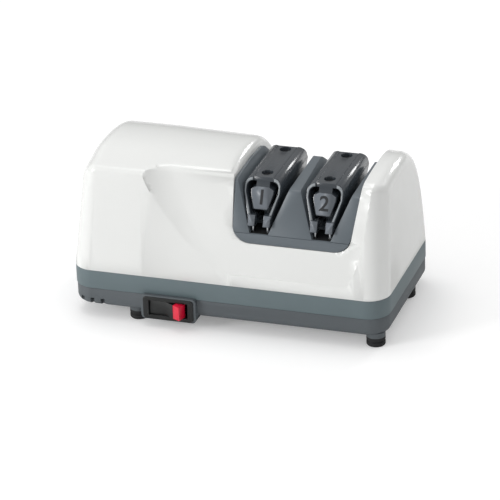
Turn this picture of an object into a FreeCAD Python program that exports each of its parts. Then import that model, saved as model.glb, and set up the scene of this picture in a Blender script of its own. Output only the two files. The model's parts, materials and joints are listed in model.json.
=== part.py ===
import FreeCAD, Part
import math
import os
import re
import Sketcher

# Two-stage electric knife sharpener, millimetres.
# X runs along the body from the switch end to the tower, Y runs to the back, Z is up.
# The origin is under the middle of the whole outline, on the plane that the feet stand on.

V = FreeCAD.Vector
FULL_TURN = 360.0

SIZES = (
    # body
    ("body_length", 210.0),
    ("body_width", 108.0),
    ("corner_radius", 14.2),
    ("base_bottom", 8.5),
    ("lower_seam", 20.5),
    ("upper_seam", 33.4),
    ("body_top", 112.0),
    ("skin", 2.6),
    ("seam_chamfer", 0.5),
    ("seam_groove", 0.4),
    ("base_edge_radius", 4.0),
    ("base_floor", 2.6),
    ("fit_gap", 0.3),
    # hood and tower
    ("hood_lean", 0.125),
    ("crease_reach", 50.0),
    ("hood_front_setback", 4.0),
    ("hood_front_top", 104.2),
    ("hood_end_drop", 1.8),
    ("hood_end_roll", 6.0),
    ("hood_end_rise", 1.4),
    ("hood_end_round", 15.0),
    ("crest", -10.0),
    ("crease_radius", 5.0),
    ("tower_lean", 0.02),
    ("tower_front_setback", 8.0),
    ("tower_drop", 2.6),
    ("tower_round", 7.0),
    ("tower_width", 19.4),
    ("tower_inner_lean", 0.173),
    ("scoop_start", 38.7),
    ("scoop_step", 0.8),
    ("scoop_slope", 0.074),
    ("scoop_curve", 0.00135),
    ("scoop_sweep", 20.0),
    ("scoop_round", 5.0),
    ("scoop_top", 107.6),
    # sharpening module
    ("module_bottom", 63.0),
    ("module_corner", 11.0),
    ("module_ledge", 7.0),
    ("module_top", 98.4),
    ("module_lean", 0.51),
    ("module_front", 50.2),
    ("module_back", 46.0),
    ("module_crown", 12.0),
    ("module_wall", 2.4),
    ("module_gap", 0.4),
    ("ear_top", 104.2),
    ("ear_setback", 8.4),
    ("ear_slope", 0.28),
    ("stage_pitch", 40.7),
    ("hood_margin", 17.5),
    ("tower_margin", 22.4),
    ("notch_half_width", 6.0),
    ("notch_slope", 0.404),
    ("edge_round", 3.0),
    ("well_front", 32.0),
    ("well_back", 11.0),
    # stage covers and guide arms
    ("cover_top", 102.8),
    ("cover_front", 35.6),
    ("cover_back", 13.5),
    ("cover_flat", 6.4),
    ("cover_half_width", 11.8),
    ("cover_shoulder", 8.5),
    ("cover_plate", 2.2),
    ("cover_neck", 4.3),
    ("core_top", 97.4),
    ("core_bottom", 84.6),
    ("core_half_top", 7.3),
    ("core_half_bottom", 4.6),
    ("arm_shell", 1.5),
    ("pad_top", 81.6),
    ("pad_bottom", 75.2),
    ("pad_outer", 7.3),
    ("pad_inner", 2.7),
    ("pad_depth", 5.0),
    ("post_radius", 3.2),
    ("screw_front", 28.2),
    ("screw_back", 8.6),
    ("screw_head_radius", 3.3),
    ("screw_recess", 3.8),
    ("screw_head", 1.8),
    ("screw_shank_radius", 1.5),
    # grinding train
    ("axle_y", -10.5),
    ("axle_z", 51.5),
    ("shaft_radius", 3.0),
    ("shaft_left_gap", 17.0),
    ("shaft_right_gap", 16.5),
    ("running_gap", 0.05),
    ("disk_radius", 19.2),
    ("disk_offset", 5.7),
    ("disk_thickness", 2.4),
    ("disk_hub_radius", 4.4),
    ("disk_hub_length", 1.4),
    ("disk_travel", 1.0),
    ("collar_radius", 6.0),
    ("collar_length", 4.0),
    ("spring_wire", 0.35),
    ("spring_radius", 5.4),
    # motor
    ("stator_reach", 45.0),
    ("stator_length", 24.0),
    ("stator_front", 37.0),
    ("stator_back", 42.0),
    ("stator_half_height", 27.0),
    ("stator_limb", 10.0),
    ("pole_radius", 13.5),
    ("rotor_radius", 13.0),
    ("coil_overhang", 7.5),
    ("coil_half_height", 15.0),
    ("bracket_standoff", 11.0),
    ("bracket_plate", 1.6),
    ("bracket_half_width", 8.0),
    ("bush_radius", 6.0),
    ("bush_length", 7.0),
    ("fan_radius", 24.0),
    ("fan_width", 9.0),
    ("fan_hub_radius", 6.5),
    ("blade_thickness", 1.4),
    # feet and screws
    ("foot_left_inset", 43.0),
    ("foot_right_inset", 9.0),
    ("foot_front_inset", 9.4),
    ("foot_back_inset", 28.0),
    ("foot_radius", 6.1),
    ("foot_height", 6.0),
    ("foot_groove", 0.7),
    ("post_end_inset", 13.0),
    ("post_side_inset", 18.0),
    ("housing_post_radius", 4.5),
    # switch
    ("switch_reach", 67.4),
    ("switch_z", 13.6),
    ("boss_half_width", 18.4),
    ("boss_top", 21.9),
    ("boss_stand", 3.2),
    ("boss_bottom", 5.4),
    ("boss_depth", 22.0),
    ("bezel_half_width", 16.8),
    ("bezel_half_height", 7.6),
    ("bezel_stand", 0.8),
    ("bezel_end_rim", 3.8),
    ("bezel_side_rim", 2.5),
    ("rocker_half_length", 11.3),
    ("rocker_half_height", 4.7),
    ("rocker_tilt", 16.0),
    ("rocker_pin_depth", 3.0),
    ("rocker_rise", 6.1),
    ("rocker_dip", 3.4),
    ("rocker_depth", 4.0),
    ("red_end_length", 5.6),
    # cord inlet, clean-out port
    ("gland_reach", 35.0),
    ("gland_z", 27.0),
    ("gland_flange", 1.5),
    ("gland_bore", 3.6),
    ("gland_radius", 4.9),
    ("gland_length", 10.0),
    ("port_margin", 0.6),
    ("port_front", 28.0),
    ("port_back", 8.0),
    ("port_lip", 3.0),
    ("door_plate", 1.8),
    ("door_travel", 34.0),
    ("vent_inset", 6.0),
    ("vent_pitch", 7.0),
    ("vent_width", 2.8),
    ("vent_height", 5.0),
)
SIZE_NAMES = frozenset(name for name, value in SIZES)

# Places that follow from the sizes.
PLACES = {
    "tower_inner": "(body_length / 2 - tower_width)",
    "stage_two": "(tower_inner - tower_margin)",
    "stage_one": "(stage_two - stage_pitch)",
    "hood_end": "(stage_one - hood_margin)",
    "hood_crease": "(crease_reach - body_length / 2)",
    "stator_left": "(stator_reach - body_length / 2)",
    "stator_right": "(stator_left + stator_length)",
    "shaft_left": "(shaft_left_gap - body_length / 2)",
    "shaft_right": "(body_length / 2 - shaft_right_gap)",
    "foot_left": "(foot_left_inset - body_length / 2)",
    "foot_right": "(body_length / 2 - foot_right_inset)",
    "foot_front": "(foot_front_inset - body_width / 2)",
    "foot_back": "(body_width / 2 - foot_back_inset)",
    "housing_screw_x": "(body_length / 2 - post_end_inset)",
    "housing_screw_y": "(body_width / 2 - post_side_inset)",
    "switch_x": "(switch_reach - body_length / 2)",
    "gland_x": "(gland_reach - body_length / 2)",
    "port_left": "(stage_one - port_margin)",
    "port_right": "(stage_two + port_margin)",
    "vent_left": "(vent_inset - body_length / 2)",
    "rocker_opening": "(bezel_half_width - bezel_end_rim)",
    "rocker_gate": "(bezel_half_height - bezel_side_rim)",
}

doc = FreeCAD.newDocument("KnifeSharpener")
sheet = doc.addObject("Spreadsheet::Sheet", "Sizes")
for row, (size_name, size_value) in enumerate(SIZES, start=1):
    sheet.set("A%d" % row, size_name)
    sheet.set("B%d" % row, repr(size_value))
    sheet.setAlias("B%d" % row, size_name)
doc.recompute()

nodes = []


def bound(formula):
    """Turn a formula of sizes and places into one that reads the sheet."""
    def cell(found):
        word = found.group(0)
        if word in PLACES:
            return bound(PLACES[word])
        return "Sizes." + word if word in SIZE_NAMES else word
    return re.sub(r"[a-z_]+", cell, formula)


def number(formula):
    """The present value of a formula of size names."""
    return float(sheet.evalExpression(bound(formula)))


def bind(thing, **sizes):
    """Bind properties to formulas; a place is given by place_x, place_y and place_z."""
    for name, formula in sizes.items():
        name = re.sub(r"^place_", "Placement.Base.", name)
        thing.setExpression(name, bound(formula))
    return thing


# Sketches

PLANES = {
    "XY": (FreeCAD.Rotation(), V(0, 0, 1), "place_z"),
    "XZ": (FreeCAD.Rotation(V(1, 0, 0), 90), V(0, 1, 0), "place_y"),
    "YZ": (FreeCAD.Rotation(V(1, 1, 1), 120), V(1, 0, 0), "place_x"),
}


def corner_round(corners, index):
    """Tangent points and centre of the round at one corner of an outline."""
    count = len(corners)
    here, before, after = [V(number(corners[i % count][0]), number(corners[i % count][1]), 0)
                           for i in (index, index - 1, index + 1)]
    if len(corners[index]) == 2:
        return here, here, None
    back = (before - here).normalize()
    ahead = (after - here).normalize()
    half = back.getAngle(ahead) / 2
    radius = number(corners[index][2])
    reach = radius / math.tan(half)
    middle = (back + ahead).normalize() * (radius / math.sin(half))
    return here + back * reach, here + ahead * reach, here + middle


def draw_outline(sketch, corners):
    """Draw a closed outline; a corner is (x, y) or (x, y, radius), each a formula."""
    count = len(corners)
    rounds = [corner_round(corners, index) for index in range(count)]
    lines = []
    for index in range(count):
        start = rounds[index][1]
        end = rounds[(index + 1) % count][0]
        lines.append(sketch.addGeometry(Part.LineSegment(start, end)))
    for index, corner in enumerate(corners):
        line_in = lines[index - 1]
        line_out = lines[index]
        arrive, leave, centre = rounds[index]
        if centre is None:
            sketch.addConstraint(Sketcher.Constraint("Coincident", line_in, 2, line_out, 1))
            holder = (line_out, 1)
            place = arrive
        else:
            place = V(number(corner[0]), number(corner[1]), 0)
            turn = (arrive - centre).cross(leave - centre).z
            first, last = (arrive, leave) if turn > 0 else (leave, arrive)
            angles = [math.atan2(p.y - centre.y, p.x - centre.x) for p in (first, last)]
            radius = number(corner[2])
            circle = Part.Circle(centre, V(0, 0, 1), radius)
            arc = sketch.addGeometry(Part.ArcOfCircle(circle, angles[0], angles[1]))
            ends = (1, 2) if turn > 0 else (2, 1)
            sketch.addConstraint(Sketcher.Constraint("Tangent", line_in, 2, arc, ends[0]))
            sketch.addConstraint(Sketcher.Constraint("Tangent", arc, ends[1], line_out, 1))
            tie = sketch.addConstraint(Sketcher.Constraint("Radius", arc, radius))
            sketch.setExpression("Constraints[%d]" % tie, bound(corner[2]))
            point = sketch.addGeometry(Part.Point(place), True)
            sketch.addConstraint(Sketcher.Constraint("PointOnObject", point, 1, line_in))
            sketch.addConstraint(Sketcher.Constraint("PointOnObject", point, 1, line_out))
            holder = (point, 1)
        for kind, value, formula in (("DistanceX", place.x, corner[0]), ("DistanceY", place.y, corner[1])):
            tie = sketch.addConstraint(Sketcher.Constraint(kind, -1, 1, holder[0], holder[1], value))
            sketch.setExpression("Constraints[%d]" % tie, bound(formula))


def new_sketch(name, plane, offset="0"):
    """A sketch parallel to a plane of the frame, at a distance along the plane's axis."""
    sketch = doc.addObject("Sketcher::SketchObject", name)
    sketch.Placement = FreeCAD.Placement(V(), PLANES[plane][0])
    bind(sketch, **{PLANES[plane][2]: offset})
    return sketch


def prism(name, plane, outlines, start, end):
    """Outlines on a plane, later ones as holes, extruded from start to end along its axis."""
    sketch = new_sketch(name + "_outline", plane, start)
    for corners in outlines:
        draw_outline(sketch, corners)
    solid = doc.addObject("Part::Extrusion", name)
    solid.Base = sketch
    solid.DirMode = "Custom"
    solid.Dir = PLANES[plane][1]
    solid.Solid = True
    return bind(solid, LengthFwd="(%s) - (%s)" % (end, start))


def rectangle(x_low, y_low, x_high, y_high, radius=None):
    """The four corners of a rectangle, rounded where a radius is given."""
    tail = () if radius is None else (radius,)
    return [(x_low, y_low) + tail, (x_high, y_low) + tail, (x_high, y_high) + tail, (x_low, y_high) + tail]


def block(name, x_low, x_high, y_low, y_high, z_low, z_high, radius=None):
    """An upright block between six planes."""
    return prism(name, "XY", [rectangle(x_low, y_low, x_high, y_high, radius)], z_low, z_high)


def rod(name, axis, x, y, z, radius, length):
    """A cylinder that starts at a point and runs along one axis."""
    solid = doc.addObject("Part::Cylinder", name)
    turns = {"X": FreeCAD.Rotation(V(0, 1, 0), 90), "Y": FreeCAD.Rotation(V(1, 0, 0), -90), "Z": FreeCAD.Rotation()}
    solid.Placement = FreeCAD.Placement(V(), turns[axis])
    return bind(solid, Radius=radius, Height=length, place_x=x, place_y=y, place_z=z)


def turned(name, axis, corners, x="0", y="0", z="0"):
    """An outline of (along the axis, radius) corners turned about an axis through a point."""
    if axis == "X":
        sketch = new_sketch(name + "_profile", "XZ", y)
        bind(sketch, place_x=x, place_z=z)
        draw_outline(sketch, corners)
    else:
        sketch = new_sketch(name + "_profile", "XZ", y)
        bind(sketch, place_x=x, place_z=z)
        draw_outline(sketch, [(corner[1], corner[0]) + tuple(corner[2:]) for corner in corners])
    solid = doc.addObject("Part::Revolution", name)
    solid.Source = sketch
    solid.Axis = V(1, 0, 0) if axis == "X" else V(0, 0, 1)
    solid.Angle = FULL_TURN
    solid.Solid = True
    solid.setExpression("Base.x", bound(x))
    solid.setExpression("Base.y", bound(y))
    solid.setExpression("Base.z", bound(z))
    return solid


def fuse(name, *pieces):
    """One solid out of several."""
    solid = doc.addObject("Part::MultiFuse", name)
    solid.Shapes = list(pieces)
    solid.Refine = True
    return solid


def cut(name, base, *tools):
    """A solid less one or more tools."""
    solid = doc.addObject("Part::Cut", name)
    solid.Base = base
    solid.Tool = tools[0] if len(tools) == 1 else fuse(name + "_tools", *tools)
    solid.Refine = True
    return solid


def common(name, *pieces):
    """What several solids share."""
    solid = doc.addObject("Part::MultiCommon", name)
    solid.Shapes = list(pieces)
    solid.Refine = True
    return solid


def rounded(name, base, radius, chosen):
    """A solid with the edges that pass a test rounded."""
    doc.recompute()
    size = number(radius)
    picked = [index for index, edge in enumerate(base.Shape.Edges, start=1) if chosen(edge)]
    solid = doc.addObject("Part::Fillet", name)
    solid.Base = base
    solid.Edges = [(index, size, size) for index in picked]
    return solid


def node(label, solid):
    """Name a finished piece and set it in the frame of the whole outline."""
    solid.Label = label
    bind(solid, place_y=FRAME_SHIFT)
    nodes.append(solid)
    return solid


def group(label, pieces):
    """Several like solids in one node."""
    together = doc.addObject("Part::Compound", label + "_set")
    together.Links = list(pieces)
    return node(label, together)


# The rocker stands out in front and the cord gland behind, so the middle of the
# outline isn't the middle of the body.
ROCKER_REACH = ("(boss_stand + rocker_rise * cos(rocker_tilt) + rocker_half_length * sin(rocker_tilt)"
                " - rocker_pin_depth)")
FRAME_SHIFT = "(%s - gland_flange) / 2" % ROCKER_REACH

HALF_LENGTH = "body_length / 2"
HALF_WIDTH = "body_width / 2"
STAGES = (("1", "stage_one"), ("2", "stage_two"))
SIDES = (("left", "-1"), ("right", "1"))


# Housing

def housing_section(x, lean, inset, drop, top, setback, crease_height, skin, floor):
    """One outline of the housing across the body, on a plane that leans by lean."""
    front = -number(HALF_WIDTH) + inset + skin
    back = number(HALF_WIDTH) - inset - skin
    roof = top - drop - skin
    low = number("upper_seam")
    crest = number("crest")
    stretch = (roof - low) / (top - low)
    corner = V(0, front + setback, low + (crease_height - low) * stretch - skin * (1 - stretch))
    foot = V(0, front, low)
    crown = V(0, crest, roof)
    down = (foot - corner).normalize()
    flow = 0.45 * (crest - corner.y)
    along = V(0, flow, flow * (roof - corner.z) / (crest - corner.y) * 1.25)
    ahead = V(along.x, along.y, along.z).normalize()
    half = down.getAngle(ahead) / 2
    radius = number("crease_radius")
    arrive = corner + down * (radius / math.tan(half))
    leave = corner + ahead * (radius / math.tan(half))
    bisector = (down + ahead).normalize()
    middle = corner + bisector * (radius / math.sin(half) - radius)
    heel = V(0, back, low)
    waist = V(0, back - 8.5, low + (roof - low) * 0.75)
    shoulder = V(0, crest + (back - crest) * 0.7, roof)
    if floor < low:
        foot = foot + (foot - arrive).normalize() * (low - floor)
        heel = V(0, back, floor)

    def set_in(point):
        return V(x + lean * (point.z - low), point.y, point.z)

    top_line = Part.BezierCurve()
    top_line.setPoles([set_in(p) for p in (leave, leave + along * 0.9, crown - V(0, flow, 0), crown)])
    back_line = Part.BezierCurve()
    back_line.setPoles([set_in(p) for p in (crown, shoulder, waist, heel)])
    foot.z = heel.z
    edges = [
        Part.LineSegment(set_in(heel), set_in(foot)).toShape(),
        Part.LineSegment(set_in(foot), set_in(arrive)).toShape(),
        Part.Arc(set_in(arrive), set_in(middle), set_in(leave)).toShape(),
        top_line.toShape(),
        back_line.toShape(),
    ]
    return Part.Wire(edges)


# How far round the hood's end rolls over, as the sine of the turn.
ROLL_SHARES = (0.0, 0.35, 0.6, 0.8, 0.92, 0.97)


def housing_body(skin, floor):
    """The full housing without scoop and saddle, or the hollow inside it."""
    end = number(HALF_LENGTH) - skin
    plan = number("corner_radius")
    top = number("body_top")
    hood_round = number("hood_end_round")
    tower_round = number("tower_round")
    crease = number("hood_crease")
    hood_setback = number("hood_front_setback")
    tower_setback = number("tower_front_setback")
    hood_height = number("hood_front_top")
    tower_top = top - number("tower_drop")
    tower_height = tower_top - 2.4
    hood_end = number("hood_end")

    def left(angle):
        swing = math.radians(angle)
        x = -end + plan * (1 - math.cos(swing))
        lean = number("hood_lean") * (crease - x) / (crease + end)
        return housing_section(x, lean, plan * (1 - math.sin(swing)), hood_round * (1 - math.sin(swing)),
                               top, hood_setback, hood_height, skin, floor)

    def right(angle):
        swing = math.radians(angle)
        x = end - plan * (1 - math.cos(swing))
        over = max(0.0, x - (end - tower_round))
        drop = tower_round - math.sqrt(tower_round ** 2 - over ** 2)
        return housing_section(x, -number("tower_lean"), plan * (1 - math.sin(swing)), drop,
                               tower_top, tower_setback, tower_height, skin, floor)

    def middle(x, height, setback, crease_height, lean):
        return housing_section(x, lean, 0.0, 0.0, height, setback, crease_height, skin, floor)

    swings = (0, 10, 22, 36, 52, 70, 90)
    hood = Part.makeLoft([left(angle) for angle in swings], True, False)
    tower = Part.makeLoft([right(angle) for angle in swings], True, False)
    fall = number("hood_end_drop")
    roll = number("hood_end_roll")
    rise = number("hood_end_rise")

    def rolled(share):
        lower = roll * (1 - math.sqrt(1 - share ** 2))
        x = hood_end - roll * (ROLL_SHARES[-1] - share)
        along = (x - crease) / (hood_end - crease)
        front = hood_height + rise * along - 0.3 * lower
        return middle(x, top - fall * along - lower, hood_setback, front, 0.0)

    span = Part.makeLoft([
        left(90),
        middle(crease, top, hood_setback, hood_height, 0.0),
        *(rolled(share) for share in ROLL_SHARES),
        middle(number("tower_inner"), tower_top, tower_setback, tower_height, -number("tower_lean")),
        right(90),
    ], True, True)
    return hood.fuse([span, tower])


# The left edge of the scoop sweeps down from the hood's shoulder to the foot of the
# housing, and its right edge climbs the tower: height, left edge from the hood's end,
# right edge from the tower's inner side.
SCOOP_EDGE = (
    (41.0, -12.5, -6.6),
    (46.0, -21.2, -2.6),
    (52.0, -26.3, -0.4),
    (60.0, -33.6, 2.4),
    (70.0, -40.5, 4.0),
    (80.0, -46.8, 5.3),
    (90.0, -52.4, 6.6),
    (100.0, -56.6, 8.3),
    (116.0, -60.0, 11.4),
)

# How far round the dish turns in under the roof, as sines.
SCOOP_TURNS = (0.0, 0.3, 0.5, 0.66, 0.8, 0.92)


def scoop_section(height, left_run, right_run, deeper):
    """One level outline of the scoop; its floor lies deeper by a set amount."""
    left = number("hood_end") + left_run
    right = number("tower_inner") + right_run
    outside = -number(HALF_WIDTH) - 30.0
    share = (height - number("upper_seam")) / (number("hood_front_top") - number("upper_seam"))
    face = -number(HALF_WIDTH) + number("hood_front_setback") * share
    climb = height - number("scoop_start")
    floor = -number(HALF_WIDTH) + number("scoop_step") + number("scoop_slope") * climb
    floor += number("scoop_curve") * climb ** 2 + deeper
    sweep = number("scoop_sweep")
    bow = Part.BezierCurve()
    outer_end = V(left - 3, face - 1.5, height)
    bow.setPoles([outer_end, V(left + sweep / 3, floor, height), V(left + sweep, floor, height)])
    return Part.Wire([
        bow.toShape(),
        Part.LineSegment(V(left + sweep, floor, height), V(right, floor, height)).toShape(),
        Part.LineSegment(V(right, floor, height), V(right + 1, outside, height)).toShape(),
        Part.LineSegment(V(right + 1, outside, height), V(left - 3, outside, height)).toShape(),
        Part.LineSegment(V(left - 3, outside, height), outer_end).toShape(),
    ])


def scoop():
    """The hollow that the hand works in, in front of the stages, as two solids to cut."""
    dish = Part.makeLoft([scoop_section(*row, 0.0) for row in SCOOP_EDGE], True, False)
    radius = number("scoop_round")
    low, high = SCOOP_EDGE[-2:]

    def turned_in(height, deeper):
        share = (height - low[0]) / (high[0] - low[0])
        runs = [first + (last - first) * share for first, last in zip(low[1:], high[1:])]
        return scoop_section(height, *runs, deeper)

    rows = [(number("scoop_top") - radius * (1 - turn), radius * (1 - math.sqrt(1 - turn ** 2)) - 0.05)
            for turn in SCOOP_TURNS]
    last_height, last_depth = rows[-1]
    steepest = SCOOP_TURNS[-1] / math.sqrt(1 - SCOOP_TURNS[-1] ** 2)
    rows.append((last_height + 6, last_depth + steepest * 6))
    brow = Part.makeLoft([turned_in(*row) for row in rows], True, True)
    return [dish, brow]


def saddle_outline(gap):
    """The opening for the sharpening module, seen from the front, with a gap all round."""
    reach = "body_top + 20"
    lean_out = "tower_inner_lean * (%s - module_bottom)" % reach
    return [
        ("hood_end - (%s)" % gap, "module_bottom - (%s)" % gap, "module_corner"),
        ("tower_inner - module_corner * 0.42 + (%s)" % gap, "module_bottom - (%s)" % gap, "module_corner"),
        ("tower_inner - module_corner * 0.42 + (%s) + %s" % (gap, lean_out), reach),
        ("hood_end - (%s)" % gap, reach),
    ]


saddle_hole = prism("saddle_hole", "XZ", [saddle_outline("0")], "-body_width", "body_width")
saddle_wall = prism("saddle_wall", "XZ", [saddle_outline("skin")], "-body_width", "body_width")

disk_wells = []
for number_text, centre in STAGES:
    disk_wells.append(block(
        "disk_well_" + number_text, "%s - notch_half_width - disk_offset" % centre,
        "%s + notch_half_width + disk_offset" % centre,
        "-well_front", "well_back", "module_bottom - skin - 5", "module_bottom + 0.1"))

housing_posts = []
housing_pilots = []
for x_sign in ("-", ""):
    for y_sign in ("-", ""):
        tag = "_%s%s" % ("left" if x_sign else "right", "_front" if y_sign else "_back")
        housing_posts.append(rod("housing_post" + tag, "Z", x_sign + "housing_screw_x", y_sign + "housing_screw_y",
                                 "base_bottom + base_floor", "housing_post_radius", "body_top"))
        housing_pilots.append(rod("housing_pilot" + tag, "Z", x_sign + "housing_screw_x",
                                  y_sign + "housing_screw_y", "base_bottom", "screw_shank_radius", "22"))
doc.recompute()


def upper_housing_shape():
    """The white housing: a thin shell with the scoop, the saddle and four screw posts."""
    skin = number("skin")
    outer = housing_body(0.0, number("upper_seam"))
    hollow = housing_body(skin, number("upper_seam") - 1.0)
    keep = outer
    for dip in scoop():
        keep = keep.cut(dip)
        dip.translate(V(-skin * 0.6, skin, 0))
        hollow = hollow.cut(dip)
    shell = keep.cut(hollow.cut(saddle_wall.Shape))
    stems = Part.makeBox(300, 200, 60, V(-150, -100, number("upper_seam") - 60))
    posts = []
    for post in housing_posts:
        above = post.Shape.common(keep)
        below = post.Shape.common(stems)
        posts.extend([above, below])
    shell = shell.fuse(posts)
    shell = shell.cut([saddle_hole.Shape] + [well.Shape for well in disk_wells])
    shell = shell.cut([pilot.Shape for pilot in housing_pilots])
    return shell.removeSplitter()


housing = doc.addObject("Part::Feature", "upper_housing_shell")
housing.Shape = upper_housing_shape()
node("upper_housing", housing)


# Base

def upright(edge):
    """True for a straight edge along Z."""
    if len(edge.Vertexes) != 2:
        return False
    run = edge.Vertexes[1].Point - edge.Vertexes[0].Point
    return abs(run.x) < 1e-6 and abs(run.y) < 1e-6


def body_outline(inset):
    """The plan of the body, drawn in by an inset."""
    return rectangle("-%s + (%s)" % (HALF_LENGTH, inset), "-%s + (%s)" % (HALF_WIDTH, inset),
                     "%s - (%s)" % (HALF_LENGTH, inset), "%s - (%s)" % (HALF_WIDTH, inset),
                     "corner_radius - (%s)" % inset)


def flat_loop(height):
    """A test for the outer edges at one height."""
    limit = number(HALF_WIDTH) - number("skin") / 2
    reach = number(HALF_LENGTH) - number("skin") / 2

    def chosen(edge):
        box = edge.BoundBox
        if abs(box.ZMin - height) > 1e-4 or abs(box.ZMax - height) > 1e-4:
            return False
        middle = edge.CenterOfMass
        outer_side = abs(middle.y) > limit or abs(middle.x) > reach
        corner = abs(middle.y) > limit - 5 and abs(middle.x) > reach - 5
        return outer_side or corner
    return chosen


band_ring = prism("band_ring", "XY", [body_outline("0"), body_outline("skin")], "lower_seam", "upper_seam")
gland_hole = rod("gland_hole", "Y", "gland_x", "%s - 8" % HALF_WIDTH, "gland_z", "gland_radius + running_gap", "12")
band_pierced = cut("band_pierced", band_ring, gland_hole)
doc.recompute()
band_edges = [index for index, edge in enumerate(band_pierced.Shape.Edges, start=1)
              if flat_loop(number("lower_seam"))(edge) or flat_loop(number("upper_seam"))(edge)]
band = doc.addObject("Part::Chamfer", "band_chamfered")
band.Base = band_pierced
band.Edges = [(index, number("seam_chamfer"), number("seam_chamfer")) for index in band_edges]
node("base_band", band)

tray_block = prism("tray_block", "XY", [body_outline("0.4")], "base_bottom", "lower_seam")
tray_outer = rounded("tray_outer", tray_block, "base_edge_radius",
                     lambda edge: abs(edge.BoundBox.ZMax - number("base_bottom")) < 1e-4)
tray_hollow = prism("tray_hollow", "XY", [body_outline("0.4 + skin")], "base_bottom + base_floor",
                    "lower_seam + 1")
switch_left = "switch_x - boss_half_width"
switch_right = "switch_x + boss_half_width"
boss_block = prism("boss_block", "XZ", [rectangle(switch_left, "boss_bottom", switch_right, "lower_seam - 0.2",
                                                  "2.6")],
                   "-%s - boss_stand" % HALF_WIDTH, "-%s + boss_depth" % HALF_WIDTH)
boss_plate = prism("boss_plate", "XZ", [rectangle(switch_left, "boss_bottom", switch_right, "boss_top", "2.6")],
                   "-%s - boss_stand" % HALF_WIDTH, "-%s - 0.2" % HALF_WIDTH)
boss_cavity = block("boss_cavity", "%s + skin" % switch_left, "%s - skin" % switch_right,
                    "-%s + 1" % HALF_WIDTH, "-%s + boss_depth - skin" % HALF_WIDTH,
                    "boss_bottom + 1.6", "lower_seam + 1")
bezel_hole = block("bezel_hole", "switch_x - rocker_opening - 0.6", "switch_x + rocker_opening + 0.6",
                   "-%s - boss_stand - 1" % HALF_WIDTH, "-%s + boss_depth - skin" % HALF_WIDTH,
                   "switch_z - rocker_gate - 0.6", "switch_z + rocker_gate + 0.6")

stems = []
for x_name in ("foot_left", "foot_right"):
    for y_name in ("foot_front", "foot_back"):
        stems.append(rod("stem_%s_%s" % (x_name, y_name), "Z", x_name, y_name, "foot_height",
                         "foot_radius", "base_bottom - foot_height + 1"))

motor_posts = []
post_tops = "axle_z - stator_half_height"
for name, y_low, y_high in (("front", "axle_y + 10.5 - stator_front", "axle_y + 20.5 - stator_front"),
                            ("back", "stator_back - 24", "stator_back - 14")):
    motor_posts.append(block("motor_rail_" + name, "stator_left + 2", "stator_right - 2", y_low, y_high,
                             "base_bottom + 1", post_tops))

vents = []
for index in range(3):
    left_edge = "vent_left + %d * vent_pitch" % index
    vents.append(block("vent_%d" % index, left_edge, "%s + vent_width" % left_edge, "-%s - 4" % HALF_WIDTH,
                       "-%s + skin + 2" % HALF_WIDTH, "base_bottom - 1", "base_bottom + vent_height"))

port_hole = block("port_hole", "port_left", "port_right", "-port_front", "port_back", "base_bottom - 1",
                  "base_bottom + base_floor + 1")
rail_left = block("rail_left", "port_left - port_lip - 3.4", "port_left - port_lip - 0.4",
                  "-port_front - port_lip - 1", "port_back + port_lip + door_travel",
                  "base_bottom - door_plate - 1.9", "base_bottom + 0.5")
rail_right = block("rail_right", "port_right + port_lip + 0.4", "port_right + port_lip + 3.4",
                   "-port_front - port_lip - 1", "port_back + port_lip + door_travel",
                   "base_bottom - door_plate - 1.9", "base_bottom + 0.5")
lip_left = block("lip_left", "port_left - port_lip - 1", "port_left - port_lip + 1.2",
                 "-port_front - port_lip - 1", "port_back + port_lip + door_travel",
                 "base_bottom - door_plate - 1.9", "base_bottom - door_plate - 0.5")
lip_right = block("lip_right", "port_right + port_lip - 1.2", "port_right + port_lip + 1",
                  "-port_front - port_lip - 1", "port_back + port_lip + door_travel",
                  "base_bottom - door_plate - 1.9", "base_bottom - door_plate - 0.5")
screw_bores = []
for x_sign in ("-", ""):
    for y_sign in ("-", ""):
        tag = "_%s%s" % ("left" if x_sign else "right", "_front" if y_sign else "_back")
        screw_bores.append(rod("screw_bore" + tag, "Z", x_sign + "housing_screw_x", y_sign + "housing_screw_y",
                               "base_bottom - 1", "screw_shank_radius + 0.2", "base_floor + 2"))
tray_solid = fuse("tray_solid", tray_outer, boss_block, boss_plate)
tray_open = cut("tray_open", tray_solid, tray_hollow, boss_cavity)
tray_full = fuse("tray_full", tray_open, *(stems + motor_posts + [rail_left, rail_right, lip_left, lip_right]))
tray = cut("tray_cut", tray_full, bezel_hole, port_hole, *(vents + screw_bores))
node("lower_base", tray)

door = block("door_sheet", "port_left - port_lip", "port_right + port_lip", "-port_front - port_lip",
             "port_back + port_lip", "base_bottom - door_plate - 0.3", "base_bottom - 0.3", "1")
door_grip = block("door_grip_bar", "(port_left + port_right) / 2 - 9", "(port_left + port_right) / 2 + 9",
                  "port_back - 1", "port_back + 1", "base_bottom - door_plate - 1.7",
                  "base_bottom - door_plate - 0.2")
node("clean_out_cover", fuse("door_with_grip", door, door_grip))

magnet = block("magnet_bar", "port_right + 4", "port_right + 12", "-port_front + 4", "port_back - 4",
               "base_bottom + base_floor", "base_bottom + base_floor + 3")
node("filings_magnet", magnet)

feet = []
for x_name in ("foot_left", "foot_right"):
    for y_name in ("foot_front", "foot_back"):
        feet.append(turned("foot_%s_%s" % (x_name, y_name), "Z", [
            ("0", "0"), ("0", "foot_radius - 0.5"), ("0.6", "foot_radius"),
            ("foot_height * 0.42", "foot_radius"), ("foot_height * 0.48", "foot_radius - foot_groove"),
            ("foot_height * 0.58", "foot_radius - foot_groove"), ("foot_height * 0.64", "foot_radius"),
            ("foot_height", "foot_radius"), ("foot_height", "0")], x_name, y_name, "0"))
group("rubber_feet", feet)

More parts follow.
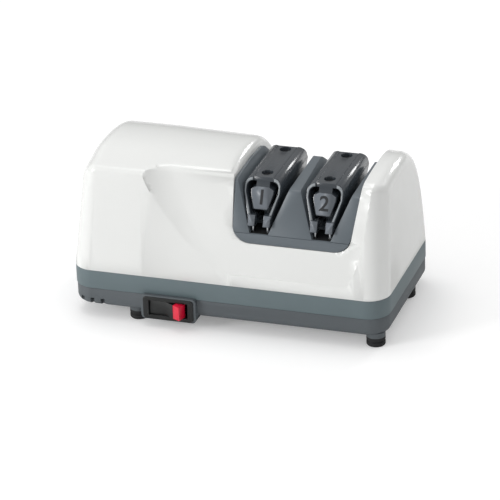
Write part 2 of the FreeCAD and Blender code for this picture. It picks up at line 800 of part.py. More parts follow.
screws = []
for x_sign in ("-", ""):
    for y_sign in ("-", ""):
        tag = "_%s%s" % ("left" if x_sign else "right", "_front" if y_sign else "_back")
        screws.append(turned("housing_screw" + tag, "Z", [
            ("-1.8", "0"), ("-1.8", "2.6"), ("0", "3"), ("0", "screw_shank_radius"),
            ("20", "screw_shank_radius"), ("21.5", "0")],
            x_sign + "housing_screw_x", y_sign + "housing_screw_y", "base_bottom"))
group("housing_screws", screws)

gland_sketch = new_sketch("gland_profile", "XY", "gland_z")
bind(gland_sketch, place_x="gland_x", place_y=HALF_WIDTH)
draw_outline(gland_sketch, [
    ("gland_bore", "gland_flange"), ("gland_radius + 1.1", "gland_flange"), ("gland_radius + 1.1", "0"),
    ("gland_radius", "0"), ("gland_radius", "-skin"), ("gland_radius + 1", "-skin - 0.6"),
    ("gland_radius - 0.6", "gland_flange - gland_length"), ("gland_bore", "gland_flange - gland_length")])
gland = doc.addObject("Part::Revolution", "gland_sleeve")
gland.Source = gland_sketch
gland.Axis = V(0, 1, 0)
gland.Angle = FULL_TURN
gland.Solid = True
gland.setExpression("Base.x", bound("gland_x"))
gland.setExpression("Base.y", bound(HALF_WIDTH))
gland.setExpression("Base.z", bound("gland_z"))
node("cord_gland", gland)


# Sharpening module

module_outline = saddle_outline("-module_gap")
module_plug = prism("module_plug", "XZ", [module_outline], "-body_width", "body_width")
ledge_top = "(module_bottom + module_ledge)"
crown_front = "-module_front + module_lean * (module_top - 2 - %s)" % ledge_top
module_side = prism("module_side", "YZ", [[
    ("-module_front - 0.5", "module_bottom - 1"),
    ("-module_front", ledge_top),
    (crown_front, "module_top - 2", "edge_round"),
    ("module_crown", "module_top + 0.8", "edge_round * 2"),
    ("module_back", ledge_top),
    ("module_back + 1.5", "module_bottom - 1"),
]], "-10", "body_length / 2")
ear_side = prism("ear_side", "YZ", [[
    ("-module_front", ledge_top),
    ("-module_front + ear_setback", "ear_top - 1.4", "edge_round"),
    ("crest", "ear_top"),
    ("module_crown", "ear_top - 1.6", "edge_round * 2"),
    ("module_back", ledge_top),
]], "-10", "stage_one")
notches = []
wells = []
for number_text, centre in STAGES:
    rise = "(module_top + 10 - %s)" % ledge_top
    left_slope = "ear_slope" if centre == "stage_one" else "notch_slope"
    notches.append(prism("notch_" + number_text, "XZ", [[
        ("%s - notch_half_width" % centre, ledge_top),
        ("%s + notch_half_width" % centre, ledge_top),
        ("%s + notch_half_width + notch_slope * %s" % (centre, rise), "module_top + 10"),
        ("%s - notch_half_width - %s * %s" % (centre, left_slope, rise), "module_top + 10"),
    ]], "-body_width", "body_width"))
    wells.append(block("well_" + number_text, "%s - notch_half_width" % centre,
                       "%s + notch_half_width" % centre, "-well_front", "well_back",
                       "module_bottom - 2", ledge_top + " + 0.1"))
ridge_left = "stage_one + notch_half_width"
ridge_right = "stage_two - notch_half_width"
ridge_middle = "(stage_one + stage_two) / 2"
ridge_rise = "((%s - (%s)) / 2 - module_wall * 1.1) / notch_slope" % (ridge_right, ridge_left)
ridge_hollow = prism("ridge_hollow", "XZ", [[
    (ridge_left + " + module_wall", "module_bottom - 2"),
    (ridge_right + " - module_wall", "module_bottom - 2"),
    (ridge_right + " - module_wall", ledge_top),
    (ridge_middle + " + 1.5", "%s + %s - 4" % (ledge_top, ridge_rise)),
    (ridge_middle + " - 1.5", "%s + %s - 4" % (ledge_top, ridge_rise)),
    (ridge_left + " + module_wall", ledge_top),
]], "-module_front + 18", "module_crown + 2")
post_places = (("front", "-screw_front"), ("back", "screw_back"))
cover_posts = []
post_pilots = []
for number_text, centre in STAGES:
    for place_name, place_y in post_places:
        tag = "%s_%s" % (number_text, place_name)
        cover_posts.append(rod("cover_post_" + tag, "Z", centre, place_y, ledge_top, "post_radius",
                               "core_bottom - (%s)" % ledge_top))
        post_pilots.append(rod("post_pilot_" + tag, "Z", centre, place_y, "core_bottom - 12",
                               "screw_shank_radius", "13"))
    cover_posts.append(block("bridge_front_" + number_text, "%s - notch_half_width - 0.5" % centre,
                             "%s + notch_half_width + 0.5" % centre, "-well_front - 2",
                             "-screw_front + post_radius", ledge_top + " - 1", ledge_top + " + 2"))
    cover_posts.append(block("bridge_back_" + number_text, "%s - notch_half_width - 0.5" % centre,
                             "%s + notch_half_width + 0.5" % centre, "screw_back - post_radius",
                             "well_back + 3", ledge_top + " - 1", ledge_top + " + 2"))
ledge_groove = block("ledge_groove", "-10", "body_length / 2", "-module_front - 3", "-module_front + seam_groove",
                     "%s - seam_groove" % ledge_top, ledge_top)
module_mass = common("module_mass", module_plug, fuse("module_sides", module_side, ear_side))
module_cut = cut("module_cut", module_mass, ridge_hollow, ledge_groove, *(notches + wells))
module_full = fuse("module_full", module_cut, *cover_posts)
module_done = cut("module_done", module_full, *post_pilots)
node("sharpening_module", module_done)


# Stage covers and their guide arms

def cover_front_line(z):
    """Where the leaning front of a stage cover is at one height."""
    return "(-cover_front - module_lean * (cover_top - (%s)))" % z


def stage_side(name, forward):
    """The side outline that trims a cover and its arms, front and back leaning."""
    low = "pad_bottom - 10"
    return prism(name, "YZ", [[
        (cover_front_line(low) + " - (%s)" % forward, low),
        ("-cover_front - (%s)" % forward, "cover_top"),
        ("-cover_front - (%s)" % forward, "cover_top + 3"),
        ("cover_back + (%s)" % forward, "cover_top + 3"),
        ("cover_back + (%s)" % forward, "cover_top"),
        ("cover_back + (%s) + module_lean * (cover_top - (%s))" % (forward, low), low),
    ]], "-10", "body_length / 2")


def core_section(centre):
    """The middle of a cover from the front: top plate, neck and number core."""
    def across(half):
        return "%s - (%s)" % (centre, half), "%s + (%s)" % (centre, half)
    plate_l, plate_r = across("cover_flat")
    neck_l, neck_r = across("cover_neck")
    core_l, core_r = across("core_half_top")
    low_l, low_r = across("core_half_bottom")
    under = "cover_top - cover_plate"
    return [
        (plate_l, under), (neck_l, under), (neck_l, "core_top"), (core_l, "core_top - 1.6"),
        (core_l, "core_top - 4"), (low_l, "core_bottom", "1.2"), (low_r, "core_bottom", "1.2"),
        (core_r, "core_top - 4"), (core_r, "core_top - 1.6"), (neck_r, "core_top"), (neck_r, under),
        (plate_r, under), (plate_r, "cover_top"), (plate_l, "cover_top")]


def arm_section(centre, sign):
    """A guide arm from the front: the rounded shoulder, the side shell and the pad."""
    def at(half):
        return "%s + (%s) * (%s)" % (centre, sign, half)
    inner_flat = "cover_flat + fit_gap / 2"
    return [
        (at(inner_flat), "cover_top"),
        (at("cover_half_width"), "cover_top", "cover_shoulder * 0.55"),
        (at("cover_half_width"), "cover_top - cover_shoulder"),
        (at("pad_outer"), "pad_top - 2"),
        (at("pad_outer"), "pad_bottom"),
        (at("pad_outer - arm_shell"), "pad_bottom"),
        (at("pad_outer - arm_shell"), "pad_top"),
        (at("cover_half_width - arm_shell"), "cover_top - cover_shoulder"),
        (at("cover_half_width - arm_shell"), "cover_top - cover_plate", "cover_shoulder * 0.55 - 1"),
        (at(inner_flat), "cover_top - cover_plate"),
    ]


def pad_block(name, centre, sign, end_name):
    """The pad that thickens one end of a guide arm's lower edge."""
    def face(z):
        out = "(0.6 + module_lean * (cover_top - (%s)))" % z
        return "-cover_front - " + out if end_name == "front" else "cover_back + " + out
    inward = " + pad_depth" if end_name == "front" else " - pad_depth"
    low = "%s + (%s) * pad_inner" % (centre, sign)
    high = "%s + (%s) * pad_outer" % (centre, sign)
    if sign == "-1":
        low, high = high, low
    return prism(name, "YZ", [[
        (face("pad_bottom"), "pad_bottom"), (face("pad_bottom") + inward, "pad_bottom"),
        (face("pad_top") + inward, "pad_top"), (face("pad_top"), "pad_top"),
    ]], low, high)


cover_screws = []
for number_text, centre in STAGES:
    side = stage_side("stage_side_" + number_text, "0")
    core = prism("core_bar_" + number_text, "XZ", [core_section(centre)], "-body_width", "body_width")
    core_trim = common("core_trim_" + number_text, core, side)
    recesses = []
    for place_name, place_y in post_places:
        recesses.append(rod("recess_%s_%s" % (number_text, place_name), "Z", centre, place_y,
                            "cover_top - screw_recess", "screw_head_radius + 0.4", "8"))
        recesses.append(rod("pass_%s_%s" % (number_text, place_name), "Z", centre, place_y,
                            "core_bottom - 1", "screw_shank_radius + 0.05", "40"))
        cover_screws.append(turned("cover_screw_%s_%s" % (number_text, place_name), "Z", [
            ("0", "0"), ("0", "screw_head_radius"), ("-screw_head", "screw_head_radius - 0.2"),
            ("-screw_head", "screw_shank_radius - 0.05"), ("-24", "screw_shank_radius - 0.05"), ("-24", "0")],
            centre, place_y, "cover_top - screw_recess + screw_head"))
    node("stage_cover_" + number_text, cut("stage_cut_" + number_text, core_trim, *recesses))
    for side_name, sign in SIDES:
        bar = prism("arm_bar_%s_%s" % (number_text, side_name), "XZ", [arm_section(centre, sign)],
                    "-body_width", "body_width")
        arm_side = stage_side("arm_side_%s_%s" % (number_text, side_name), "0.6")
        arm = common("arm_%s_%s" % (number_text, side_name), bar, arm_side)
        pads = []
        for end_name in ("front", "back"):
            pads.append(pad_block("pad_%s_%s_%s" % (number_text, side_name, end_name), centre, sign, end_name))
        node("guide_arm_%s_%s" % (number_text, side_name),
             fuse("arm_with_pads_%s_%s" % (number_text, side_name), arm, *pads))
group("cover_screws", cover_screws)

pins = []
for number_text, centre in STAGES:
    for side_name, sign in SIDES:
        pins.append(rod("stop_pin_%s_%s" % (number_text, side_name), "Z",
                        "%s + (%s) * (notch_half_width - 1.2)" % (centre, sign), "-module_front + 4",
                        ledge_top, "0.8", "4.4"))
group("blade_stop_pins", pins)


# Rotor: shaft, core, fan, collars, disks and springs

node("motor_shaft", turned("shaft_bar", "X", [
    ("shaft_left", "0"), ("shaft_left", "shaft_radius - 0.5"), ("shaft_left + 0.5", "shaft_radius"),
    ("shaft_right - 0.5", "shaft_radius"), ("shaft_right", "shaft_radius - 0.5"), ("shaft_right", "0")],
    "0", "axle_y", "axle_z"))

node("rotor_core", turned("rotor_drum", "X", [
    ("stator_left", "shaft_radius"), ("stator_left", "rotor_radius"), ("stator_right", "rotor_radius"),
    ("stator_right", "shaft_radius")], "0", "axle_y", "axle_z"))

fan_left = "shaft_left + 2"
fan_hub = turned("fan_hub", "X", [
    (fan_left, "shaft_radius"), (fan_left, "fan_hub_radius"), (fan_left + " + fan_width", "fan_hub_radius"),
    (fan_left + " + fan_width", "shaft_radius")], "0", "axle_y", "axle_z")
fan_plate = turned("fan_plate", "X", [
    (fan_left + " + fan_width - 1.4", "fan_hub_radius - 1"), (fan_left + " + fan_width - 1.4", "fan_radius"),
    (fan_left + " + fan_width", "fan_radius"), (fan_left + " + fan_width", "fan_hub_radius - 1")],
    "0", "axle_y", "axle_z")
blades = []
BLADE_COUNT = 9
for index in range(BLADE_COUNT):
    blade = doc.addObject("Part::Box", "fan_blade_%d" % index)
    bind(blade, Length="fan_width - 0.4", Width="blade_thickness",
         Height="fan_radius - fan_hub_radius + 0.5")
    spin = FreeCAD.Placement(V(number(fan_left) + 0.4, number("axle_y"), number("axle_z")),
                             FreeCAD.Rotation(V(1, 0, 0), index * FULL_TURN / BLADE_COUNT))
    blade.Placement = spin.multiply(FreeCAD.Placement(V(0, 0, number("fan_hub_radius") - 0.5),
                                                      FreeCAD.Rotation(V(1, 0, 0), 12)))
    blades.append(blade)
node("cooling_fan", fuse("fan_fused", fan_hub, fan_plate, *blades))

collars = []
for number_text, centre in STAGES:
    for side_name, sign in SIDES:
        inner = "%s + (%s) * disk_offset" % (centre, sign)
        outer = "%s + (%s) * (disk_offset + collar_length)" % (centre, sign)
        collars.append(turned("collar_%s_%s" % (number_text, side_name), "X", [
            (inner, "shaft_radius"), (inner, "collar_radius"), (outer, "collar_radius"),
            (outer, "shaft_radius")], "0", "axle_y", "axle_z"))
group("drive_collars", collars)

for number_text, centre in STAGES:
    for side_name, sign in SIDES:
        def at(distance):
            return "%s + (%s) * (%s)" % (centre, sign, distance)
        node("hone_disk_%s_%s" % (number_text, side_name), turned(
            "disk_%s_%s" % (number_text, side_name), "X", [
                (at("disk_offset"), "shaft_radius + running_gap"),
                (at("disk_offset"), "disk_radius"),
                (at("disk_offset - 0.8"), "disk_radius"),
                (at("disk_offset - disk_thickness"), "disk_radius - 5"),
                (at("disk_offset - disk_thickness"), "disk_hub_radius"),
                (at("disk_offset - disk_thickness - disk_hub_length"), "disk_hub_radius"),
                (at("disk_offset - disk_thickness - disk_hub_length"), "shaft_radius + running_gap"),
            ], "0", "axle_y", "axle_z"))


def helix_point(radius, pitch, turn):
    """A point of a helix along X, and the direction in which it runs there."""
    swing = 2 * math.pi * turn
    place = V(pitch * turn, radius * math.cos(swing), radius * math.sin(swing))
    run = V(pitch / (2 * math.pi), -radius * math.sin(swing), radius * math.cos(swing))
    return place, run.normalize()


def arc_between(start, run, end):
    """The arc that leaves a point along a direction and ends at another point."""
    chord = end - start
    line = V(chord).normalize()
    side = run - line * run.dot(line)
    bulge = chord.Length / 2 * math.tan(run.getAngle(line) / 2)
    return Part.Arc(start, (start + end) * 0.5 + side.normalize() * bulge, end).toShape()


def coil(radius, wire, pitch, turns):
    """A wound spring as one unbroken wire on two arcs for each quarter turn."""
    edges = []
    steps = int(turns * 4)
    for index in range(steps):
        start, run_out = helix_point(radius, pitch, index / 4)
        end, run_in = helix_point(radius, pitch, (index + 1) / 4)
        gap = end - start
        both = run_out + run_in
        turn = 2 * (1 - run_out.dot(run_in))
        reach = (-gap.dot(both) + math.sqrt(gap.dot(both) ** 2 + turn * gap.dot(gap))) / turn
        knot = (start + end + (run_out - run_in) * reach) * 0.5
        edges.append(arc_between(start, run_out, knot))
        tangent = (knot - start - run_out * reach).normalize()
        edges.append(arc_between(knot, tangent, end))
    path = Part.Wire(edges)
    place, run = helix_point(radius, pitch, 0)
    section = Part.Wire([Part.Circle(place, run, wire).toShape()])
    return path.makePipeShell([section], True, False)


COIL_TURNS = 2
for number_text, centre in STAGES:
    spread = 2 * number("disk_offset - disk_thickness - disk_travel - fit_gap")
    wire = number("spring_wire")
    pitch = (spread - 2 * wire) / COIL_TURNS
    print("spring gap between turns", round(pitch - 2 * wire, 3))
    spring = doc.addObject("Part::Feature", "spring_coil_" + number_text)
    wound = coil(number("spring_radius"), wire, pitch, COIL_TURNS)
    wound.translate(V(number(centre) - pitch * COIL_TURNS / 2, number("axle_y"), number("axle_z")))
    spring.Shape = wound
    node("disk_spring_" + number_text, spring)


# Motor

stator_y_front = "axle_y + 10.5 - stator_front"
stator = prism("stator_stack", "YZ", [
    rectangle(stator_y_front, "axle_z - stator_half_height", "stator_back - 11", "axle_z + stator_half_height",
              "3")], "stator_left", "stator_right")
stator_window = prism("stator_window", "YZ", [
    rectangle("axle_y + pole_radius + 5", "axle_z - coil_half_height - 2", "stator_back - 11 - stator_limb",
              "axle_z + coil_half_height + 2")], "stator_left - 1", "stator_right + 1")
stator_bore = rod("stator_bore", "X", "stator_left - 1", "axle_y", "axle_z", "pole_radius",
                  "stator_right - stator_left + 2")
node("motor_stator", cut("stator_cut", stator, stator_window, stator_bore))

leg_front = "stator_back - 11 - stator_limb"
leg_back = "stator_back - 11"
bobbin_tube = prism("bobbin_tube", "XY", [
    rectangle("stator_left - 1.4", "%s - 1.4" % leg_front, "stator_right + 1.4", "%s + 1.4" % leg_back),
    rectangle("stator_left - 0.2", "%s - 0.2" % leg_front, "stator_right + 0.2", "%s + 0.2" % leg_back)],
    "axle_z - coil_half_height", "axle_z + coil_half_height")
flanges = []
for flange_name, low in (("low", "axle_z - coil_half_height - 0.1"), ("high", "axle_z + coil_half_height - 1.3")):
    flanges.append(prism("flange_" + flange_name, "XY", [
        rectangle("stator_left - coil_overhang", "%s - 6.2" % leg_front, "stator_right + coil_overhang",
                  "%s + 6.2" % leg_back, "2"),
        rectangle("stator_left - 0.2", "%s - 0.2" % leg_front, "stator_right + 0.2", "%s + 0.2" % leg_back)],
        low, low + " + 1.4"))
node("motor_bobbin", fuse("bobbin_fused", bobbin_tube, *flanges))
node("motor_coil", prism("coil_pack", "XY", [
    rectangle("stator_left - coil_overhang + 1", "%s - 5.4" % leg_front, "stator_right + coil_overhang - 1",
              "%s + 5.4" % leg_back, "3"),
    rectangle("stator_left - 1.4", "%s - 1.4" % leg_front, "stator_right + 1.4", "%s + 1.4" % leg_back)],
    "axle_z - coil_half_height + 1.3", "axle_z + coil_half_height - 1.3"))

bracket_reach = "stator_half_height - 4"
for side_name, face, sign in (("left", "stator_left", "-1"), ("right", "stator_right", "1")):
    def out(distance):
        return "%s + (%s) * (%s)" % (face, sign, distance)
    strap = prism("strap_" + side_name, "XZ", [[
        (out("0"), "axle_z - (%s)" % bracket_reach),
        (out("0"), "axle_z - (%s) + 7" % bracket_reach),
        (out("bracket_standoff - bracket_plate"), "axle_z - (%s) + 10" % bracket_reach),
        (out("bracket_standoff - bracket_plate"), "axle_z + (%s) - 10" % bracket_reach),
        (out("0"), "axle_z + (%s) - 7" % bracket_reach),
        (out("0"), "axle_z + (%s)" % bracket_reach),
        (out("bracket_plate"), "axle_z + (%s)" % bracket_reach),
        (out("bracket_plate"), "axle_z + (%s) - 5.6" % bracket_reach),
        (out("bracket_standoff"), "axle_z + (%s) - 8.6" % bracket_reach),
        (out("bracket_standoff"), "axle_z - (%s) + 8.6" % bracket_reach),
        (out("bracket_plate"), "axle_z - (%s) + 5.6" % bracket_reach),
        (out("bracket_plate"), "axle_z - (%s)" % bracket_reach),
    ]], "axle_y - bracket_half_width", "axle_y + bracket_half_width")
    bush_seat = rod("bush_seat_" + side_name, "X", out("0") if sign == "1" else out("20"), "axle_y", "axle_z",
                    "bush_radius", "20")
    node("motor_bracket_" + side_name, cut("bracket_" + side_name, strap, bush_seat))
    bush_low = out("bracket_standoff - bracket_plate / 2 - bush_length / 2")
    bush_high = out("bracket_standoff - bracket_plate / 2 + bush_length / 2")
    node("bush_" + side_name, turned("bush_ring_" + side_name, "X", [
        (bush_low, "shaft_radius + running_gap"), (bush_low, "bush_radius"), (bush_high, "bush_radius"),
        (bush_high, "shaft_radius + running_gap")], "0", "axle_y", "axle_z"))

motor_screws = []
for end_name, height in (("low", "axle_z - (%s) + 2.8" % bracket_reach), ("high", "axle_z + (%s) - 2.8" % bracket_reach)):
    for side_name, face, sign in (("left", "stator_left", "-1"), ("right", "stator_right", "1")):
        def out(distance):
            return "%s + (%s) * (%s)" % (face, sign, distance)
        motor_screws.append(turned("motor_screw_%s_%s" % (end_name, side_name), "X", [
            (out("bracket_plate"), "0"), (out("bracket_plate"), "2.4"), (out("bracket_plate + 1.6"), "2.2"),
            (out("bracket_plate + 1.6"), "0")], "0", "axle_y", height))
group("motor_screws", motor_screws)

holder_left = "shaft_right - 8"
holder = block("holder_plate", holder_left, holder_left + " + 5", "axle_y - 13", "axle_y + 13",
               "base_bottom + base_floor", "axle_z + 8")
holder_bore = rod("holder_bore", "X", holder_left + " - 1", "axle_y", "axle_z", "bush_radius", "8")
node("bearing_holder", cut("holder_cut", holder, holder_bore))
node("end_bearing", turned("end_bearing_ring", "X", [
    (holder_left, "shaft_radius + running_gap"), (holder_left, "bush_radius"),
    (holder_left + " + 5", "bush_radius"), (holder_left + " + 5", "shaft_radius + running_gap")],
    "0", "axle_y", "axle_z"))


# Switch

face_y = "-%s - boss_stand" % HALF_WIDTH
bezel = prism("bezel_frame", "XZ", [
    rectangle("switch_x - bezel_half_width", "switch_z - bezel_half_height", "switch_x + bezel_half_width",
              "switch_z + bezel_half_height", "2.2"),
    rectangle("switch_x - rocker_opening", "switch_z - rocker_gate", "switch_x + rocker_opening",
              "switch_z + rocker_gate")],
    face_y + " - bezel_stand", face_y)
node("switch_bezel", bezel)

body_y = face_y + " + 8.4"
case = block("switch_case", "switch_x - rocker_opening - 0.3", "switch_x + rocker_opening + 0.3", body_y,
             body_y + " + 8", "switch_z - rocker_gate - 0.3", "switch_z + rocker_gate + 0.3")
rim = prism("switch_rim", "XZ", [
    rectangle("switch_x - rocker_opening - 0.3", "switch_z - rocker_gate - 0.3",
              "switch_x + rocker_opening + 0.3", "switch_z + rocker_gate + 0.3"),
    rectangle("switch_x - rocker_opening + 0.05", "switch_z - rocker_gate + 0.05",
              "switch_x + rocker_opening - 0.05", "switch_z + rocker_gate - 0.05")],
    face_y, body_y + " + 1")
node("switch_body", fuse("switch_case_full", case, rim))

terminals = []
for index in range(3):
    terminals.append(block("terminal_%d" % index, "switch_x - 9.5 + %d * 8" % index,
                           "switch_x - 3.5 + %d * 8" % index, body_y + " + 8", body_y + " + 14",
                           "switch_z - 0.4", "switch_z + 0.4"))
group("switch_terminals", terminals)

# The rocker is drawn level, with a shallow V face, and then tilted about its pin.
rocker_pin_y = face_y + " + rocker_pin_depth"
red_start = "(rocker_half_length - red_end_length)"
red_face = "-rocker_dip - (rocker_rise - rocker_dip) * %s / rocker_half_length" % red_start
red_under = "1 + (rocker_depth - 1) * red_end_length / (rocker_half_length - 4)"
rocker_outline = [
    ("-rocker_half_length", "-rocker_rise"), ("0", "-rocker_dip"), (red_start, red_face),
    (red_start, red_under), ("4", "rocker_depth"), ("-4", "rocker_depth"), ("-rocker_half_length", "1")]
red_outline = [
    (red_start, red_face), ("rocker_half_length", "-rocker_rise"), ("rocker_half_length", "1"),
    (red_start, red_under)]


def tilted(name, outline):
    """A piece of the rocker, extruded across its height and turned about the pin."""
    sketch = doc.addObject("Sketcher::SketchObject", name + "_outline")
    sketch.Placement = FreeCAD.Placement(V(), FreeCAD.Rotation(V(0, 0, 1), -number("rocker_tilt")))
    bind(sketch, place_x="switch_x", place_y=rocker_pin_y, place_z="switch_z - rocker_half_height")
    draw_outline(sketch, outline)
    solid = doc.addObject("Part::Extrusion", name)
    solid.Base = sketch
    solid.DirMode = "Custom"
    solid.Dir = V(0, 0, 1)
    solid.Solid = True
    return bind(solid, LengthFwd="2 * rocker_half_height")


node("switch_rocker", tilted("rocker_bar", rocker_outline))
node("rocker_red_end", tilted("rocker_end_bar", red_outline))


# Checks and files

doc.recompute()
faults = []
for thing in doc.Objects:
    if "Invalid" in thing.State or "Error" in thing.State:
        faults.append("%s is %s" % (thing.Name, thing.State))
for piece in nodes:
    shape = piece.Shape
    if shape.isNull() or not shape.isValid() or not shape.Solids:
        faults.append("%s has no sound solid" % piece.Label)
if faults:
    raise RuntimeError("; ".join(faults))

os.makedirs("parts", exist_ok=True)
for piece in nodes:
    piece.Shape.exportStep(os.path.join("parts", piece.Label + ".step"))
    box = piece.Shape.BoundBox
    print("%-24s solids %d volume %9.1f  x %7.2f %7.2f  y %7.2f %7.2f  z %7.2f %7.2f" % (
        piece.Label, len(piece.Shape.Solids), piece.Shape.Volume, box.XMin, box.XMax, box.YMin, box.YMax,
        box.ZMin, box.ZMax))
print("nodes", len(nodes))
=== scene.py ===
"""Visual model of an electric knife sharpener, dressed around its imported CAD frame."""

import json
import logging
import math
from dataclasses import dataclass
from enum import Enum, auto

import bmesh
import bpy
from mathutils import Matrix, Vector


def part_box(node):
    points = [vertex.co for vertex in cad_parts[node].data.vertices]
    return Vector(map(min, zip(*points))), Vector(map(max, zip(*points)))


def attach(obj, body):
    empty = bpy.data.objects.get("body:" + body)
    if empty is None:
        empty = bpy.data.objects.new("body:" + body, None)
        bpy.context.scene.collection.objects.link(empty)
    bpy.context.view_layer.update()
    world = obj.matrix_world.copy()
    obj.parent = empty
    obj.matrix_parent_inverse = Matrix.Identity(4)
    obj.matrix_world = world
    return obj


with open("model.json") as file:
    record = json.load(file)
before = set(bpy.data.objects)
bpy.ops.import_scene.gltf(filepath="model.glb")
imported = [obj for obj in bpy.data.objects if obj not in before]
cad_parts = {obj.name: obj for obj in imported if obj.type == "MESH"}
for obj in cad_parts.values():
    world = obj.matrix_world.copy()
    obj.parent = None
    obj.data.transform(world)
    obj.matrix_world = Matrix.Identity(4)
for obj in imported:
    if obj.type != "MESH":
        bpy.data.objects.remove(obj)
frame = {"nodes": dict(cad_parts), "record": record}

MM = 0.001
SAME_PLACE = 0.002 * MM  # corners nearer than this are one corner
SAME_WAY = 0.999  # least cosine between two directions that count as one
FLAT_TURN = math.radians(1)  # largest turn between faces that count as flat
log = logging.getLogger("sharpener")


def millimetres(x: float, y: float, z: float) -> Vector:
    """A point or a run given in millimetres, in metres."""
    return Vector((x, y, z)) * MM


def linear(code: int) -> float:
    """One 8-bit screen channel as the light it stands for, by the sRGB curve."""
    share = code / 255
    return share / 12.92 if share <= 0.04045 else ((share + 0.055) / 1.055) ** 2.4


# Finishes

class Pattern(Enum):
    """What the surface of a finish looks like close up."""

    MOULDED = auto()
    TURNED = auto()
    STACKED = auto()
    WOUND = auto()
    GRIT = auto()


@dataclass(frozen=True)
class Finish:
    """The look of one material.

    Attributes:
        name: The material's name.
        screen: Its colour in plain light, as 8-bit screen channels.
        roughness: Middle roughness of the surface.
        metallic: 1 for bare metal, 0 for everything else.
        coat: Weight of a clear glossy skin.
        spread: How far the tone wanders to either side, as a share of the colour.
        wander: How far the roughness wanders to either side.
        grain: Width of the fine grain, in millimetres.
        relief: Height of the fine grain, in millimetres.
        pattern: What the surface looks like close up.
    """

    name: str
    screen: tuple[int, int, int]
    roughness: float
    metallic: float = 0.0
    coat: float = 0.0
    spread: float = 0.03
    wander: float = 0.04
    grain: float = 0.5
    relief: float = 0.004
    pattern: Pattern = Pattern.MOULDED

    def tone(self, factor: float) -> tuple[float, float, float, float]:
        """The colour, lightened or darkened by a factor."""
        red, green, blue = (min(1.0, linear(code) * factor) for code in self.screen)
        return red, green, blue, 1.0


WHITE_HOUSING = Finish("white_housing", (237, 238, 236), 0.26, coat=0.6, spread=0.004, wander=0.02, grain=0.8,
                       relief=0.001)
BLUE_GREY_BAND = Finish("blue_grey_band", (101, 115, 119), 0.46, grain=0.35, relief=0.004)
SLATE_BASE = Finish("slate_base", (88, 94, 98), 0.5, grain=0.35, relief=0.004)
MODULE_GREY = Finish("module_grey", (99, 107, 113), 0.42, grain=0.35, relief=0.003)
COVER_GREY = Finish("cover_grey", (54, 60, 66), 0.24, coat=0.3, grain=0.6, relief=0.001)
# Painted highlight: the light grey of the thin rim on each guide arm's front edge stands for the highlight
# that the edge catches; the arm itself is dark grey.
RIM_HIGHLIGHT_GREY = Finish("painted_rim_highlight", (150, 156, 160), 0.34, grain=0.5, relief=0.001)
PLATE_GREY = Finish("plate_grey", (116, 122, 129), 0.34, grain=0.5, relief=0.001)
DIGIT_BLACK = Finish("digit_black", (30, 33, 36), 0.5, grain=0.4, relief=0.001)
SWITCH_BLACK = Finish("switch_black", (22, 24, 24), 0.36, grain=0.4, relief=0.002)
SIGNAL_RED = Finish("signal_red", (228, 24, 60), 0.26, coat=0.3, grain=0.8, relief=0.001)
FOOT_RUBBER = Finish("foot_rubber", (34, 34, 36), 0.82, spread=0.08, grain=0.4, relief=0.01)
GROUND_STEEL = Finish("ground_steel", (196, 199, 202), 0.3, metallic=1.0, spread=0.06, wander=0.08,
                      grain=0.12, relief=0.001, pattern=Pattern.TURNED)
CORE_STEEL = Finish("core_steel", (150, 153, 158), 0.44, metallic=1.0, spread=0.14, grain=0.5, relief=0.03,
                    pattern=Pattern.STACKED)
DIAMOND_GRIT = Finish("diamond_grit", (172, 172, 166), 0.5, metallic=1.0, spread=0.2, wander=0.15, grain=0.18,
                      relief=0.03, pattern=Pattern.GRIT)
COIL_COPPER = Finish("coil_copper", (196, 112, 62), 0.34, metallic=1.0, spread=0.16, grain=0.4, relief=0.06,
                     pattern=Pattern.WOUND)
BUSH_BRONZE = Finish("bush_bronze", (186, 146, 88), 0.42, metallic=1.0, spread=0.1, grain=0.15, relief=0.004,
                     pattern=Pattern.TURNED)
BLACK_STEEL = Finish("black_steel", (38, 40, 43), 0.32, spread=0.08, grain=0.2, relief=0.003)
MAGNET_BLACK = Finish("magnet_black", (42, 43, 46), 0.6, spread=0.08, grain=0.3, relief=0.006)
BOBBIN_CREAM = Finish("bobbin_cream", (226, 217, 196), 0.44, grain=0.5, relief=0.002)
# Painted shade: the near-black of the strip laid in each notch, where there is only shadow.
SLOT_SHADOW = Finish("slot_shadow", (16, 17, 19), 0.75, grain=0.3, relief=0.002)

SLOT_FINISHES = {
    "white_gloss": WHITE_HOUSING,
    "grey_band": BLUE_GREY_BAND,
    "grey_base": SLATE_BASE,
    "grey_module": MODULE_GREY,
    "grey_cover": COVER_GREY,
    "black_plastic": SWITCH_BLACK,
    "red_plastic": SIGNAL_RED,
    "rubber": FOOT_RUBBER,
    "steel": GROUND_STEEL,
    "black_steel": BLACK_STEEL,
    "laminations": CORE_STEEL,
    "abrasive": DIAMOND_GRIT,
    "copper": COIL_COPPER,
    "bronze": BUSH_BRONZE,
    "magnet": MAGNET_BLACK,
    "bobbin": BOBBIN_CREAM,
}


